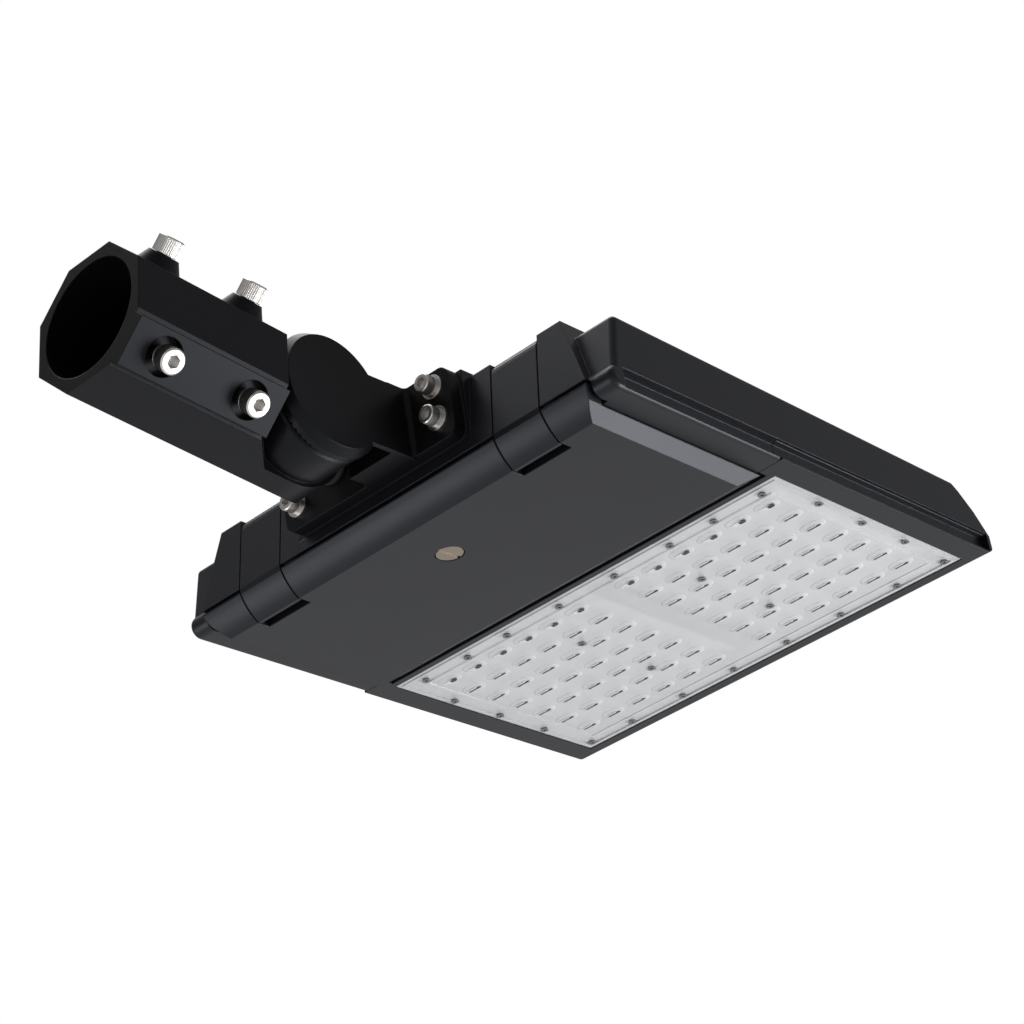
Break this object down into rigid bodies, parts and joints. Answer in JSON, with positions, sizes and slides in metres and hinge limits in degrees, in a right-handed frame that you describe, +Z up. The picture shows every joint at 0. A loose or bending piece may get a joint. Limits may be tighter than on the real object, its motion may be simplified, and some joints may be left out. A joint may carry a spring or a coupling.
{
  "type": "area light",
  "caption": "Flat rectangular pole-top area light with a finned head, hinged driver door, moulded LED lens and a tilting slip fitter for a round tenon.",
  "frame": {"origin": "centre of the slip fitter's bore at its mouth", "axes": "+X along the bore from the mouth towards the head, +Z up, +Y to the head's left"},
  "size_m": [0.5109, 0.304, 0.0806],
  "materials": {
    "powder_coat": "fine-textured matte powder coat",
    "stainless": "bright turned stainless",
    "plated_stud": "dull plating",
    "rubber_black": "moulded",
    "silicone_pale": "moulded silicone",
    "lens_clear": "clear moulded",
    "board_white": "white solder mask on metal core",
    "led_yellow": "phosphor under clear resin",
    "driver_case": "extruded, satin",
    "sheet_metal": "mill finish sheet",
    "potted_black": "moulded",
    "terminal_white": "moulded",
    "lead_jacket": "extruded"
  },
  "bodies": {
    "arm": {"slip_fitter": "powder_coat", "tenon_screws": "stainless", "pivot_bolt": "stainless", "pivot_washer": "stainless"},
    "head": {"knuckle_bracket": "powder_coat", "flange_gasket": "rubber_black", "flange_screws": "stainless", "flange_washers": "stainless", "flange_spring_washers": "stainless", "cable_grommet": "rubber_black", "driver_housing": "powder_coat", "led_heatsink": "powder_coat", "lens_plate": "lens_clear", "lens_screws": "stainless", "lens_gasket": "silicone_pale", "led_board_left": "board_white", "led_board_right": "board_white", "board_screws": "stainless", "led_chips": "led_yellow", "hinge_pins": "stainless", "latch_pins": "stainless", "led_driver": "driver_case", "driver_plate": "sheet_metal", "driver_screws": "stainless", "surge_protector": "potted_black", "terminal_block": "terminal_white", "led_leads": "lead_jacket"},
    "door": {"driver_door": "powder_coat", "door_gasket": "rubber_black"},
    "stud": {"door_stud": "plated_stud", "stud_keeper": "plated_stud"},
    "left_latch": {"latch_left": "powder_coat"},
    "right_latch": {"latch_right": "powder_coat"}
  },
  "joints": [
    {"name": "head_tilt", "type": "hinge", "parent": "arm", "child": "head", "pos_m": [0.1275, 0, 0], "axis": [0, -1, 0], "range_deg": [-96, 84]},
    {"name": "door_swing", "type": "hinge", "parent": "head", "child": "door", "pos_m": [0.32492, 0, -0.01474], "axis": [0, -1, 0], "range_deg": [0, 90]},
    {"name": "stud_turn", "type": "hinge", "parent": "door", "child": "stud", "pos_m": [0.23566, 0, -0.03408], "axis": [-0.1045, 0, 0.9945], "range_deg": [0, 90]},
    {"name": "left_latch_swing", "type": "hinge", "parent": "head", "child": "left_latch", "pos_m": [0.19516, 0.0924, 0.01636], "axis": [0, 1, 0], "range_deg": [0, 90]},
    {"name": "right_latch_swing", "type": "hinge", "parent": "head", "child": "right_latch", "pos_m": [0.19516, -0.0924, 0.01636], "axis": [0, 1, 0], "range_deg": [0, 90]}
  ]
}
